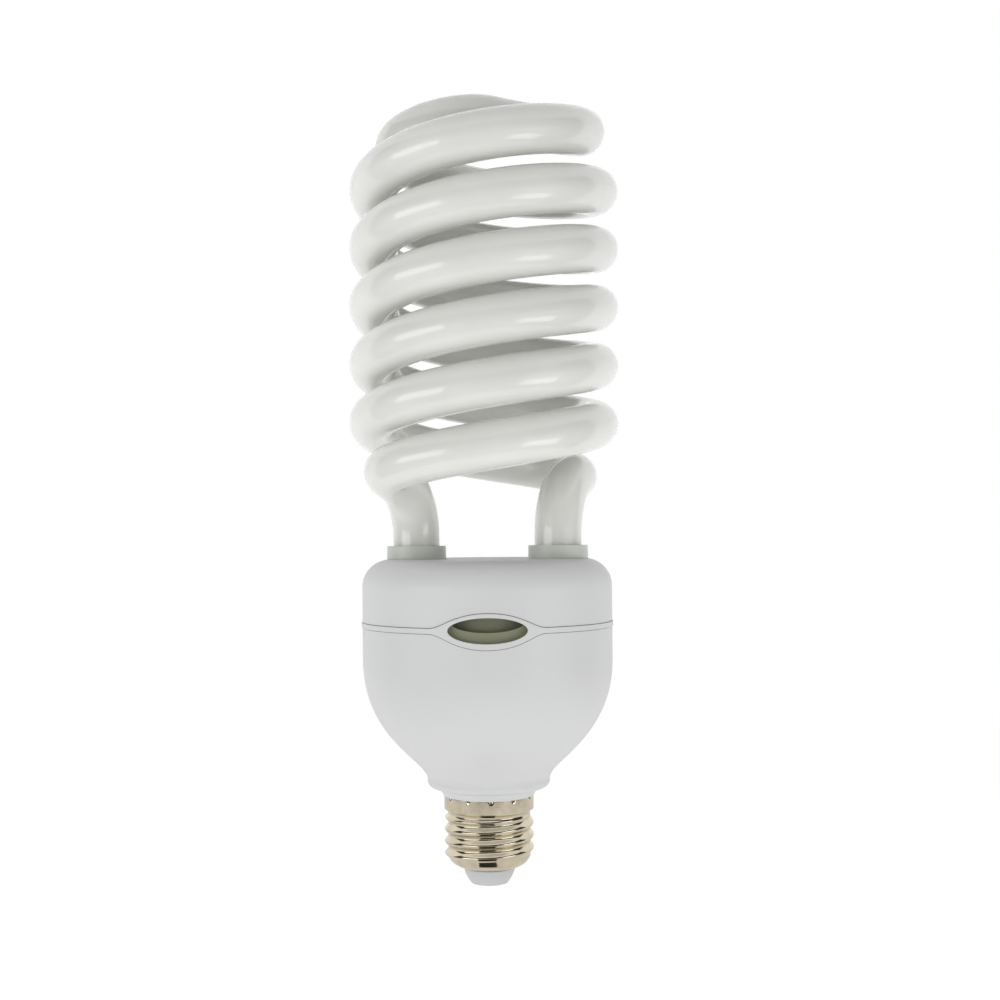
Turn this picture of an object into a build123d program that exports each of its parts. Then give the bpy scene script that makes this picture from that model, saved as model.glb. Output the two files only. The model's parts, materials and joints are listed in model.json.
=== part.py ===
from build123d import *
import os
from math import asin, cos, degrees, pi, radians, sin, sqrt

# Spiral energy saving bulb: a double-helix fluorescent tube on a ballast housing with an Edison screw cap.
# Millimetres. The origin is at the tip of the centre contact, and Z runs up the lamp's axis to the crown.
# The legs of the tube stand to the left (-X) and to the right (+X), and the two vents face -Y and +Y.

# Running clearances
fit_gap = 0.1
seam_gap = 0.15
cut_over = 1.0

# Centre contact and insulator
contact_radius = 4.6
contact_thickness = 0.5
solder_radius = 1.8
solder_flat_radius = 1.0
solder_height = 0.25
contact_stem_radius = 1.1
contact_stem_length = 5.8
insulator_tip_radius = 5.5
insulator_bulge_radius = 6.9
insulator_top_radius = 7.7
insulator_height = 4.6
insulator_flange_radius = 8.2
insulator_flange_height = 2.2

# Screw shell, rolled from sheet
shell_wall = 0.35
shell_mouth_radius = 7.4
shell_shoulder_radius = 10.6
shell_shoulder_height = 1.3
shell_root_radius = 12.1
shell_crest_radius = 13.15
shell_root_height = 3.35
thread_pitch = 3.629
thread_turns = 3.3
thread_round = 1.378
thread_start_angle = 140.0
thread_lift = 0.34
skirt_radius = 13.2
skirt_height = 3.9
skirt_flare = 0.8
screw_shell_length = 21.35
stake_count = 12
stake_round = 0.6
stake_depth = 0.3
stake_drop = 1.1

# Ballast housing: a bowl on a neck
housing_radius = 36.75
housing_wall = 1.8
bowl_height = 47.5
bowl_straight = 9.8
bowl_upper_pull = 22.8
bowl_lower_pull = 5.3
bowl_foot_radius = 18.05
bowl_foot_straight = 0.5
foot_round_height = 2.2
foot_side_pull = 1.54
foot_base_pull = 1.32
neck_top_radius = 14.5
neck_radius = 13.45
neck_height = 2.1
neck_bore_radius = 10.9
floor_thickness = 2.0
ledge_width = 2.3
ledge_height = 1.6

# Ring in the seam, with an eye round each vent
ring_height = 1.45
ring_proud = 0.25
ring_depth = 3.4
eye_half_length = 16.0
eye_drop = 4.3
eye_rise = 4.1
eye_tail_pull = 3.5
eye_crown_pull = 9.5
side_cut_reach = 55.0
vent_half_length = 10.9
vent_half_height = 3.55
vent_rise = 0.15
guard_wall = 1.4
guard_reach = 5.6
guard_vent_shrink = 0.8
guard_vent_lift = 2.1

# Tube cover
cover_height = 18.3
cover_corner_round = 8.0
cover_wall = 2.0

# Tube holder with two collars
leg_inset = 15.85
leg_offset = 2.9
collar_radius = 8.9
collar_top_radius = 8.7
collar_height = 3.9
collar_lip = 1.0
holder_inset = 8.35
holder_thickness = 2.0
socket_depth = 7.5
seal_thickness = 0.7

# Discharge tube
tube_radius = 6.9
coil_radius = 32.65
coil_lead = 34.05
coil_first_crossing = 118.35
coil_turns = 3.0
coil_start_angle = 41.0
coil_end_angle = -35.2
coil_end_skew = 7.0
crown_pull_in = 2.95
leg_top = 103.0
leg_bend_share = 1.8
crown_peak = 225.4
crown_shift = 2.2
crown_heading = 41.5
crown_outer_pull = 23.8
crown_inner_pull = 13.0
tube_end_above_socket = 1.0
stem_radius = 2.6
stem_length = 3.0
coil_steps_per_turn = 8
crown_steps = 5

# Ballast board and what stands on it
board_clearance = 0.45
board_thickness = 1.6
pin_side = 0.9
pin_height = 6.5
pin_tail = 2.6
pin_hole_gap = 0.15
pin_spacing = 5.4
lead_radius = 0.35
wrap_count = 4
wrap_pitch = 0.56
wrap_bite = 0.21
capacitor_radius = 8.0
capacitor_length = 30.0
capacitor_place = (5.8, 0.0)
capacitor_round = 0.9
capacitor_groove_drop = 3.0
capacitor_groove_depth = 0.7
choke_place = (-14.6, 0.0)
choke_length = 20.0
choke_width = 13.0
choke_height = 18.0
choke_leg = 5.0
choke_back = 4.0
choke_stand_off = 1.2
bobbin_wall = 0.9
winding_gap = 0.15
winding_depth = 2.3
inductor_place = (15.0, -16.0)
inductor_radius = 5.0
inductor_height = 11.0
inductor_flange = 1.6
inductor_core_radius = 2.6
toroid_place = (18.0, 14.0)
toroid_outer_radius = 5.2
toroid_inner_radius = 2.7
toroid_thickness = 4.0
toroid_wrap_depth = 0.6
toroid_wrap_angle = 62.0
transistor_spacing = 11.0
transistor_row = 23.0
transistor_body = (8.0, 3.0, 11.0)
transistor_leg = (0.8, 0.5, 4.5)
transistor_leg_pitch = 2.4
film_round = 0.8
film_lead_share = 0.35
film_foot = 3.0
resonant_place = (-10.0, -19.0)
resonant_size = (12.5, 5.5, 10.0)
coupling_place = (4.0, -22.0)
coupling_size = (9.5, 4.5, 8.0)
diode_radius = 1.35
diode_length = 4.2
diode_span = 10.0
diode_pitch = 4.2
diode_place = (0.0, 14.0)
resistor_radius = 2.1
resistor_length = 9.0
resistor_span = 15.0
resistor_place = (0.0, -24.0)
axial_lead_radius = 0.35
axial_lift = 0.6
thermistor_radius = 5.0
thermistor_thickness = 2.6
thermistor_place = (0.0, 0.0)
thermistor_foot = 2.0
mains_wire_radius = 0.8
mains_bend_radius = 5.0
live_rise = 3.5
live_neck_place = (0.5, -7.8)
live_place = (0.5, -13.5)
live_turn_height = 8.0
neutral_place = (-2.0, 12.5)
neutral_turn_height = 14.0
neutral_drop = 6.0
neutral_step = 1.5
neutral_step_height = 3.0

# Places and heights that follow from the sizes above
leg_spread = housing_radius - leg_inset
holder_radius = housing_radius - holder_inset
insulator_bottom = solder_height
shell_mouth_z = insulator_bottom + insulator_height
shell_root_z = shell_mouth_z + shell_root_height
shell_rim_z = shell_mouth_z + screw_shell_length
skirt_foot_z = shell_rim_z - skirt_height
neck_bottom_z = shell_rim_z + fit_gap / 2
spigot_z = skirt_foot_z + shell_wall + fit_gap
foot_z = neck_bottom_z + neck_height
bowl_foot_z = foot_z + foot_round_height + bowl_foot_straight
seam_low_z = foot_z + bowl_height
seam_high_z = seam_low_z + ring_height
seam_mid_z = (seam_low_z + seam_high_z) / 2
cover_top_z = seam_high_z + cover_height
holder_top_z = cover_top_z - cover_wall
holder_bottom_z = holder_top_z - holder_thickness
socket_bottom_z = holder_bottom_z - socket_depth
collar_top_z = cover_top_z + collar_height
inner_radius = housing_radius - housing_wall
ledge_z = bowl_foot_z + bowl_height - foot_round_height - bowl_foot_straight - bowl_straight - ledge_height
board_bottom_z = ledge_z
board_top_z = board_bottom_z + board_thickness
board_radius = inner_radius - board_clearance
tube_end_z = socket_bottom_z + tube_end_above_socket
stem_end_z = tube_end_z - stem_length


def profile(*outline):
    """A face in the XZ plane, closed by the lines and arcs that are given as (radius, z)."""
    return Plane.XZ * make_face(list(outline))


def turned(*outline):
    """A solid of revolution about the lamp's axis."""
    return revolve(profile(*outline), Axis.Z)


def ring(outer, inner, low, high):
    """A plain ring between two radii and two heights."""
    return turned(Polyline((inner, low), (outer, low), (outer, high), (inner, high), (inner, low)))


def rod(place, radius, low, high):
    """An upright rod between two heights."""
    return Pos(place[0], place[1], (low + high) / 2) * Cylinder(radius, high - low)


def save(name, shape):
    """Writes one sub-part to its own file."""
    export_step(shape, "parts/" + name + ".step")


# Discharge tube

def tangent_arc(start, tangent, end):
    """The circle that leaves start along tangent and passes through end: its axis, radius and angle."""
    chord = end - start
    normal = chord - tangent * chord.dot(tangent)
    if normal.length < 1e-4 * chord.length:
        return None, 0.0, chord.length
    normal = normal.normalized()
    radius = chord.dot(chord) / (2 * chord.dot(normal))
    angle = degrees(2 * asin(min(1.0, chord.length / (2 * radius))))
    return Axis(start + normal * radius, tangent.cross(normal)), radius, angle


def arc_pair(start, start_tangent, end, end_tangent, share=1.0):
    """The point and tangent where two tangent arcs join, share being the ratio of their tangent lengths."""
    gap = end - start
    bend = start_tangent.dot(end_tangent)
    square = 2 * share * (bend - 1)
    linear = -2 * gap.dot(start_tangent * share + end_tangent)
    if abs(square) < 1e-9:
        reach = -gap.dot(gap) / linear
    else:
        reach = (-linear - sqrt(linear * linear - 4 * square * gap.dot(gap))) / (2 * square)
    corner = start + start_tangent * (share * reach)
    other_corner = end - end_tangent * reach
    along = (other_corner - corner).normalized()
    return corner + along * (share * reach), along


def coil_station(angle, end_angle, side):
    """A point of one strand's centre line and its tangent; the last half turn draws in by crown_pull_in."""
    draw = max(0.0, (angle - end_angle + pi) / pi)
    radius = coil_radius - crown_pull_in * draw * draw
    narrowing = -2 * crown_pull_in * draw / pi
    rise = coil_lead / (2 * pi)
    point = Vector(
        side * radius * cos(angle),
        side * radius * sin(angle),
        coil_first_crossing + rise * (angle - pi),
    )
    tangent = Vector(
        side * (narrowing * cos(angle) - radius * sin(angle)),
        side * (narrowing * sin(angle) + radius * cos(angle)),
        rise,
    )
    return point, tangent.normalized()


def crown_station(fraction, start, start_tangent, end, end_tangent):
    """A point and tangent on the cubic curve from the end of a coil to the middle of the crown."""
    near = start + start_tangent * crown_outer_pull
    far = end - end_tangent * crown_inner_pull
    rest = 1 - fraction
    point = (
        start * rest**3
        + near * (3 * rest**2 * fraction)
        + far * (3 * rest * fraction**2)
        + end * fraction**3
    )
    tangent = (
        (near - start) * rest**2
        + (far - near) * (2 * rest * fraction)
        + (end - far) * fraction**2
    )
    return point, tangent.normalized()


def strand_stations(side):
    """Stations of one strand from the top of its leg to the middle of the crown; side 1 is the left leg."""
    first = pi + radians(coil_start_angle)
    last = pi * (1 + 2 * coil_turns) + radians(coil_end_angle - side * coil_end_skew)
    steps = round((last - first) / (2 * pi) * coil_steps_per_turn)
    leg = Vector(-side * leg_spread, side * leg_offset, leg_top)
    stations = [(leg, Vector(0, 0, 1))]
    for step in range(steps + 1):
        stations.append(coil_station(first + (last - first) * step / steps, last, side))
    middle = Vector(crown_shift, 0, crown_peak)
    heading = Vector(cos(radians(crown_heading)), sin(radians(crown_heading)), 0) * side
    coil_end, coil_tangent = stations[-1]
    for step in range(1, crown_steps + 1):
        stations.append(crown_station(step / crown_steps, coil_end, coil_tangent, middle, heading))
    return stations


def tube_arcs():
    """The whole centre line as arcs (start, tangent, end), from the left leg over the crown to the right leg."""
    left = strand_stations(1)
    right = strand_stations(-1)
    stations = left + [(point, tangent * -1) for point, tangent in reversed(right[:-1])]
    spans = len(stations) - 1
    arcs = []
    for number in range(spans):
        start, start_tangent = stations[number]
        end, end_tangent = stations[number + 1]
        share = 1.0
        if number == 0:
            share = leg_bend_share
        if number == spans - 1:
            share = 1 / leg_bend_share
        joint, joint_tangent = arc_pair(start, start_tangent, end, end_tangent, share)
        arcs.append((start, start_tangent, joint))
        arcs.append((joint, joint_tangent, end))
    return arcs


def discharge_tube():
    """The glass tube as one closed solid: torus spans along the centre line, straight legs and pinched stems."""
    arcs = tube_arcs()
    section = (Plane(origin=arcs[0][0], z_dir=arcs[0][1]) * Circle(tube_radius)).faces()[0]
    walls = []
    first_section = section
    for start, tangent, end in arcs:
        axis, radius, angle = tangent_arc(start, tangent, end)
        if axis is None:
            span = Solid.extrude(section, end - start)
            section = section.moved(Location(end - start))
        else:
            span = Solid.revolve(section, angle, axis)
            section = section.rotate(axis, angle)
        walls += [face for face in span.faces() if face.geom_type != GeomType.PLANE]
    coil = Solid(Shell(walls + [first_section, section]))
    tube = coil
    for side in (1, -1):
        place = (-side * leg_spread, side * leg_offset)
        leg = rod(place, tube_radius, tube_end_z, leg_top)
        shoulder = Pos(place[0], place[1], tube_end_z) * Sphere(tube_radius)
        stem = rod(place, stem_radius, stem_end_z - tube_radius, tube_end_z)
        tube += leg + shoulder + stem
    return tube


# Screw cap

def centre_contact():
    """The contact disc with its solder dome below, which ends in a small flat, and its rivet stem above."""
    top = insulator_bottom + contact_thickness
    return turned(
        Polyline(
            (solder_radius, insulator_bottom),
            (contact_radius, insulator_bottom),
            (contact_radius, top),
            (contact_stem_radius, top),
            (contact_stem_radius, top + contact_stem_length),
            (0, top + contact_stem_length),
            (0, 0),
            (solder_flat_radius, 0),
        ),
        ThreePointArc(
            (solder_flat_radius, 0),
            ((solder_flat_radius + solder_radius) / 2 + solder_height / 6, solder_height / 3),
            (solder_radius, insulator_bottom),
        ),
    )


def cap_insulator():
    """The moulded insulator: a bulging cone under the shell, a neck in its mouth and a flange inside it."""
    neck = shell_mouth_radius - fit_gap
    bore = contact_stem_radius + fit_gap
    recess = contact_radius + fit_gap
    recess_z = insulator_bottom + contact_thickness
    seat_z = shell_mouth_z - fit_gap / 2
    flange_low = shell_mouth_z + shell_wall + shell_shoulder_height / 2
    flange_high = flange_low + insulator_flange_height
    return turned(
        ThreePointArc(
            (insulator_tip_radius, insulator_bottom),
            (insulator_bulge_radius, insulator_bottom + insulator_height / 2),
            (insulator_top_radius, seat_z),
        ),
        Polyline(
            (insulator_top_radius, seat_z),
            (neck, seat_z),
            (neck, flange_low),
            (insulator_flange_radius, flange_low),
            (insulator_flange_radius, flange_high),
            (bore, flange_high),
            (bore, recess_z),
            (recess, recess_z),
            (recess, insulator_bottom),
            (insulator_tip_radius, insulator_bottom),
        ),
    )


def thread_wire(crest_radius):
    """A round helical wire whose outer side is the rolled thread."""
    path_radius = crest_radius - thread_round
    path = Pos(0, 0, shell_root_z + thread_lift) * Helix(thread_pitch, thread_pitch * thread_turns, path_radius)
    section = Plane(origin=path @ 0, z_dir=path % 0) * Circle(thread_round)
    return Rot(0, 0, thread_start_angle) * sweep(section, path=path, is_frenet=True)


def stake_marks(depth_radius, round_radius):
    """Balls that press the staked dents into the rim of the skirt."""
    z = shell_rim_z - stake_drop
    marks = Part()
    for number in range(stake_count):
        angle = 360 * number / stake_count
        marks += Rot(0, 0, angle) * Pos(depth_radius, 0, z) * Sphere(round_radius)
    return marks


def shell_form(inset, high):
    """The solid inside one face of the sheet that the screw shell is rolled from."""
    root = shell_root_radius - inset
    skirt = skirt_radius - inset
    shoulder_inset = inset * sqrt(0.5)
    foot = (shell_mouth_radius, shell_mouth_z + inset)
    form = turned(
        Line((0, foot[1]), foot),
        ThreePointArc(
            foot,
            (shell_shoulder_radius - shoulder_inset, shell_mouth_z + shell_shoulder_height + shoulder_inset),
            (root, shell_root_z),
        ),
        Polyline(
            (root, shell_root_z),
            (root, skirt_foot_z - skirt_flare + inset / 2),
            (skirt, skirt_foot_z + inset / 2),
            (skirt, high),
            (0, high),
            (0, foot[1]),
        ),
    )
    return form + thread_wire(shell_crest_radius - inset)


def screw_shell():
    """The shell of thin sheet, with its rolled thread, open mouth and staked rim."""
    outside = shell_form(0, shell_rim_z)
    inside = shell_form(shell_wall, shell_rim_z + cut_over)
    inside += rod((0, 0), shell_mouth_radius, shell_mouth_z - cut_over, shell_mouth_z + cut_over)
    centre = skirt_radius + stake_round - stake_depth
    outside -= stake_marks(centre, stake_round)
    inside -= stake_marks(centre, stake_round + shell_wall)
    return outside - inside


# Ballast housing, seam ring and cover

def bowl_outline(inset, top_z):
    """The bowl's outline from the seam down to the foot, as a straight wall and one S-shaped curve."""
    wide = housing_radius - inset
    narrow = bowl_foot_radius - inset
    lift = inset / 2
    curve_top = seam_low_z - bowl_straight
    foot = bowl_foot_z + lift
    return [
        Line((wide, top_z), (wide, curve_top)),
        Bezier((wide, curve_top), (wide, curve_top - bowl_upper_pull), (narrow, foot + bowl_lower_pull), (narrow, foot)),
    ]


def eye_region(grow):
    """The eye in the seam, seen from the front, grown outwards by a gap; its tails end in the ring's band."""
    low = seam_low_z - grow
    high = seam_high_z + grow
    half = eye_half_length
    outline = []
    for side in (-1, 1):
        tail = side * half
        shoulder = side * (half - eye_tail_pull)
        crown = side * eye_crown_pull
        outline.append(Bezier((tail, low), (shoulder, low), (crown, low - eye_drop), (0, low - eye_drop)))
        outline.append(Bezier((tail, high), (shoulder, high), (crown, high + eye_rise), (0, high + eye_rise)))
        outline.append(Line((tail, low), (tail, high)))
    return extrude(Plane.XZ * make_face(outline), amount=side_cut_reach, both=True)


def oval(half_length, half_height, middle_z):
    """A bar of oval section through both vents."""
    face = Plane.XZ * Pos(0, middle_z) * Ellipse(half_length, half_height)
    return extrude(face, amount=side_cut_reach, both=True)


def ballast_housing():
    """The bowl with its neck, the spigot inside the cap, the ledge of the board and the notches of the eyes."""
    top = seam_low_z - seam_gap
    spigot = skirt_radius - shell_wall - fit_gap
    floor_z = foot_z + floor_thickness
    outer_foot = (bowl_foot_radius, foot_z + foot_round_height)
    outside = turned(
        *bowl_outline(0, top),
        Line((bowl_foot_radius, bowl_foot_z), outer_foot),
        Bezier(
            outer_foot,
            (bowl_foot_radius, foot_z + foot_round_height - foot_side_pull),
            (bowl_foot_radius - foot_base_pull, foot_z),
            (neck_top_radius, foot_z),
        ),
        Polyline(
            (neck_top_radius, foot_z),
            (neck_radius, neck_bottom_z),
            (spigot, neck_bottom_z),
            (spigot, spigot_z),
            (0, spigot_z),
            (0, top),
            (housing_radius, top),
        ),
    )
    narrow = bowl_foot_radius - housing_wall
    inside = turned(
        *bowl_outline(housing_wall, top),
        Polyline(
            (narrow, bowl_foot_z + housing_wall / 2),
            (narrow, floor_z),
            (neck_bore_radius, floor_z),
            (neck_bore_radius, spigot_z),
            (0, spigot_z),
            (0, top),
            (inner_radius, top),
        ),
    )
    ledge = turned(
        Polyline(
            (inner_radius - ledge_width, ledge_z),
            (inner_radius + housing_wall / 2, ledge_z),
            (inner_radius + housing_wall / 2, ledge_z - ledge_height - ledge_width),
            (inner_radius, ledge_z - ledge_height - ledge_width),
            (inner_radius - ledge_width, ledge_z - ledge_height),
            (inner_radius - ledge_width, ledge_z),
        )
    )
    centre = skirt_radius + stake_round - stake_depth
    pockets = stake_marks(centre, stake_round + shell_wall + fit_gap)
    return outside - inside + ledge - eye_region(seam_gap) - pockets


def vent_ring():
    """The seam ring: a proud band, an eye round each vent and a guard wall behind with its own oval."""
    outer = housing_radius + ring_proud
    back = housing_radius - ring_depth
    band = ring(outer, back, seam_low_z, seam_high_z)
    eye_zone = ring(outer, back, seam_low_z - eye_drop, seam_high_z + eye_rise)
    guard_outer = housing_radius - max(housing_wall, cover_wall) - seam_gap
    guard = ring(guard_outer, guard_outer - guard_wall, seam_mid_z - guard_reach, seam_mid_z + guard_reach)
    vent_z = seam_mid_z + vent_rise
    vents = oval(vent_half_length, vent_half_height, vent_z)
    eyes = eye_zone & eye_region(0)
    shrunk = (vent_half_length - guard_vent_shrink, vent_half_height - guard_vent_shrink)
    guard_vents = oval(*shrunk, vent_z + guard_vent_lift)
    return (band + eyes - vents) + (guard - guard_vents)


def leg_places():
    """The middles of the two legs: left, then right."""
    return [(-leg_spread, leg_offset), (leg_spread, -leg_offset)]


def cover_outline(inset, low):
    """The cover's outline: straight wall, round corner and flat top."""
    radius = housing_radius - inset
    top = cover_top_z - inset
    corner = cover_corner_round - inset
    bend = corner * (1 - sqrt(0.5))
    return [
        Polyline((0, top), (0, low), (radius, low), (radius, top - corner)),
        ThreePointArc((radius, top - corner), (radius - bend, top - bend), (radius - corner, top)),
        Line((radius - corner, top), (0, top)),
    ]


def tube_cover():
    """The upper shell, with two holes for the collars and the notches of the eyes."""
    low = seam_high_z + seam_gap
    cover = turned(*cover_outline(0, low)) - turned(*cover_outline(cover_wall, low - cut_over))
    for place in leg_places():
        cover -= rod(place, collar_radius + fit_gap, holder_top_z - cut_over, cover_top_z + cut_over)
    return cover - eye_region(seam_gap)


def tube_holder():
    """The plate under the cover, with a collar above and a socket below for each leg."""
    bore = tube_radius + seal_thickness
    mouth = tube_radius + fit_gap
    holder = ring(holder_radius, 0, holder_bottom_z, holder_top_z)
    for place in leg_places():
        collar_length = collar_top_z - holder_bottom_z
        collar = Cone(collar_radius, collar_top_radius, collar_length)
        holder += Pos(place[0], place[1], holder_bottom_z + collar_length / 2) * collar
        holder += rod(place, collar_radius, socket_bottom_z, holder_bottom_z)
    for place in leg_places():
        holder -= rod(place, bore, socket_bottom_z - cut_over, collar_top_z - collar_lip)
        holder -= rod(place, mouth, socket_bottom_z, collar_top_z + cut_over)
    return holder


def tube_seals():
    """The silicone rings that bed the two legs in their sockets."""
    slack = fit_gap / 4
    seals = Part()
    for place in leg_places():
        sleeve = rod(place, tube_radius + seal_thickness - slack, tube_end_z, collar_top_z - collar_lip - slack)
        seals += sleeve - rod(place, tube_radius + slack, tube_end_z - cut_over, collar_top_z)
    return seals


# Ballast board

def pin_places():
    """Two pins under each leg."""
    places = []
    for x, y in leg_places():
        places.append((x, y - pin_spacing / 2))
        places.append((x, y + pin_spacing / 2))
    return places


def circuit_board():
    """The round board with the holes of its pins and of the main capacitor's leads."""
    board = ring(board_radius, 0, board_bottom_z, board_top_z)
    hole = pin_side / sqrt(2) + pin_hole_gap
    for place in pin_places():
        board -= rod(place, hole, board_bottom_z - cut_over, board_top_z + cut_over)
    return board


def wrap_pins():
    """Square pins that stand on the board, with their tails through it."""
    pins = Part()
    for x, y in pin_places():
        height = pin_height + pin_tail
        pins += Pos(x, y, board_top_z + pin_height - height / 2) * Box(pin_side, pin_side, height)
    return pins


def lead_in_wires():
    """Four wires that hang from the stems of the tube, each wrapped round its pin."""
    wires = Part()
    wrap_radius = pin_side / sqrt(2) + lead_radius + fit_gap
    first_z = board_top_z + pin_height - 2 * lead_radius
    last_z = first_z - (wrap_count - 1) * wrap_pitch
    for x, leg_y in leg_places():
        for side in (-1, 1):
            y = leg_y + side * pin_spacing / 2
            beside = y - side * (wrap_radius + wrap_bite)
            wires += rod((x, beside), lead_radius, last_z - lead_radius / 2, stem_end_z - tube_radius)
            for turn in range(wrap_count):
                wires += Pos(x, y, first_z - turn * wrap_pitch) * Torus(wrap_radius, lead_radius)
    return wires


def main_capacitor():
    """The smoothing capacitor, hanging from the board into the bowl, with its crimp groove and round end."""
    x, y = capacitor_place
    high = board_bottom_z
    low = high - capacitor_length
    groove_z = high - capacitor_groove_drop
    radius = capacitor_radius
    bend = capacitor_round * (1 - sqrt(0.5))
    can = revolve(
        Plane.XZ
        * make_face(
            [
                Polyline((0, low), (radius - capacitor_round, low)),
                ThreePointArc(
                    (radius - capacitor_round, low),
                    (radius - bend, low + bend),
                    (radius, low + capacitor_round),
                ),
                Line((radius, low + capacitor_round), (radius, groove_z - capacitor_groove_depth)),
                ThreePointArc(
                    (radius, groove_z - capacitor_groove_depth),
                    (radius - capacitor_groove_depth, groove_z),
                    (radius, groove_z + capacitor_groove_depth),
                ),
                Polyline((radius, groove_z + capacitor_groove_depth), (radius, high), (0, high), (0, low)),
            ]
        ),
        Axis.Z,
    )
    return Pos(x, y, 0) * can


def choke_frame():
    """The middle, the lowest point and the window of the choke."""
    top = board_bottom_z - choke_stand_off
    low = top - choke_height
    window = (choke_length - choke_leg) / 2 - choke_leg / 2
    return top, low, window


def choke_core():
    """The ferrite core: two outer legs, a middle leg and two backs."""
    top, low, window = choke_frame()
    core = Pos(choke_place[0], choke_place[1], (top + low) / 2) * Box(choke_length, choke_width, choke_height)
    opening_height = choke_height - 2 * choke_back
    offset = choke_leg / 2 + window / 2
    for side in (-1, 1):
        opening = Box(window, choke_width * 2, opening_height)
        core -= Pos(choke_place[0] + side * offset, choke_place[1], (top + low) / 2) * opening
    return core


def choke_sleeve(inner_gap, outer_gap, height):
    """A square sleeve round the middle leg of the core."""
    top, low, window = choke_frame()
    middle = Pos(choke_place[0], choke_place[1], (top + low) / 2)
    outer_x = choke_leg + 2 * outer_gap
    outer_y = choke_width + 2 * outer_gap
    inner_x = choke_leg + 2 * inner_gap
    inner_y = choke_width + 2 * inner_gap
    return middle * (Box(outer_x, outer_y, height) - Box(inner_x, inner_y, height * 2))


def choke_bobbin():
    """The moulded bobbin: a sleeve round the middle leg, two flanges and the feet that carry it on the board."""
    top, low, window = choke_frame()
    height = choke_height - 2 * choke_back - 2 * winding_gap
    flange = bobbin_wall + winding_depth
    bobbin = choke_sleeve(winding_gap, winding_gap + bobbin_wall, height)
    shift = (height - bobbin_wall) / 2
    for side in (-1, 1):
        bobbin += Pos(0, 0, side * shift) * choke_sleeve(winding_gap, winding_gap + flange, bobbin_wall)
    reach = choke_width / 2 + winding_gap
    foot_low = (top + low) / 2 + height / 2 - bobbin_wall
    foot_height = board_bottom_z - foot_low
    for side in (-1, 1):
        y = choke_place[1] + side * (reach + flange - bobbin_wall / 2)
        bobbin += Pos(choke_place[0], y, foot_low + foot_height / 2) * Box(choke_leg, bobbin_wall, foot_height)
    return bobbin


def choke_winding():
    """The copper winding between the bobbin's flanges."""
    height = choke_height - 2 * choke_back - 2 * bobbin_wall - 4 * winding_gap
    inner = winding_gap * 2 + bobbin_wall
    return choke_sleeve(inner, winding_gap + bobbin_wall + winding_depth - winding_gap, height)


def filter_inductor():
    """The drum inductor: a wound drum with a flange at each end."""
    x, y = inductor_place
    high = board_bottom_z
    low = high - inductor_height
    wound = inductor_radius - inductor_flange / 2
    drum = rod((x, y), wound, low, high)
    drum += rod((x, y), inductor_radius, low, low + inductor_flange)
    drum += rod((x, y), inductor_radius, high - inductor_flange, high)
    return drum


def toroid_section(grow):
    """The section of the ring core, grown on all sides."""
    middle = (toroid_outer_radius + toroid_inner_radius) / 2
    width = toroid_outer_radius - toroid_inner_radius + 2 * grow
    return Plane.XZ * Pos(middle, 0) * Rectangle(width, toroid_thickness + 2 * grow)


def toroid_height():
    """The middle height of the ring core, whose windings touch the board."""
    return board_bottom_z - toroid_thickness / 2 - toroid_wrap_depth - winding_gap


def drive_toroid():
    """The small ring core that drives the two transistors."""
    return Pos(*toroid_place, toroid_height()) * revolve(toroid_section(0), Axis.Z)


def toroid_windings():
    """Three windings on the ring core."""
    windings = Part()
    section = toroid_section(winding_gap + toroid_wrap_depth) - toroid_section(winding_gap)
    for number in range(3):
        wrap = revolve(section, Axis.Z, toroid_wrap_angle)
        windings += Pos(*toroid_place, toroid_height()) * Rot(0, 0, 120 * number) * wrap
    return windings


def power_transistors():
    """Two transistors that hang under the board by three legs each."""
    transistors = Part()
    width, depth, height = transistor_body
    leg_width, leg_depth, leg_length = transistor_leg
    for side in (-1, 1):
        x = side * transistor_spacing / 2
        body_z = board_bottom_z - leg_length - height / 2
        transistor = Pos(x, transistor_row, body_z) * Box(width, depth, height)
        for leg in (-1, 0, 1):
            leg_place = Pos(x + leg * transistor_leg_pitch, transistor_row, board_bottom_z - leg_length / 2)
            transistor += leg_place * Box(leg_width, leg_depth, leg_length)
        transistors += transistor
    return transistors


def film_capacitor(place, size):
    """A dipped film capacitor with round edges, on two leads under the board."""
    length, width, height = size
    z = board_bottom_z - film_foot - height / 2
    body = fillet(Box(length, width, height).edges(), film_round)
    capacitor = Pos(place[0], place[1], z) * body
    for side in (-1, 1):
        lead = (place[0] + side * length * film_lead_share, place[1])
        capacitor += rod(lead, lead_radius, z, board_bottom_z)
    return capacitor


def axial_part(place, radius, length, span):
    """A cylinder that lies on top of the board on two bent leads."""
    x, y = place
    z = board_top_z + axial_lift + radius
    lying = Pos(x, y, z) * Rot(0, 90, 0)
    part = lying * Cylinder(radius, length) + lying * Cylinder(axial_lead_radius, span)
    for side in (-1, 1):
        foot = (x + side * span / 2, y)
        part += rod(foot, axial_lead_radius, board_top_z, z)
        part += Pos(foot[0], foot[1], z) * Sphere(axial_lead_radius)
    return part


def rectifier_diodes():
    """Four diodes side by side."""
    diodes = Part()
    for number in range(4):
        y = diode_place[1] + (number - 1.5) * diode_pitch
        diodes += axial_part((diode_place[0], y), diode_radius, diode_length, diode_span)
    return diodes


def start_thermistor():
    """A round disc that stands on two leads."""
    x, y = thermistor_place
    z = board_top_z + thermistor_foot + thermistor_radius
    disc = Pos(x, y, z) * Rot(90, 0, 0) * Cylinder(thermistor_radius, thermistor_thickness)
    for side in (-1, 1):
        disc += rod((x + side * thermistor_radius / 2, y), lead_radius, board_top_z, z)
    return disc


def wire(*points):
    """An insulated mains wire along straight runs with rounded corners."""
    path = FilletPolyline(*points, radius=mains_bend_radius)
    return sweep(Plane(origin=path @ 0, z_dir=path % 0) * Circle(mains_wire_radius), path=path)


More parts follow.
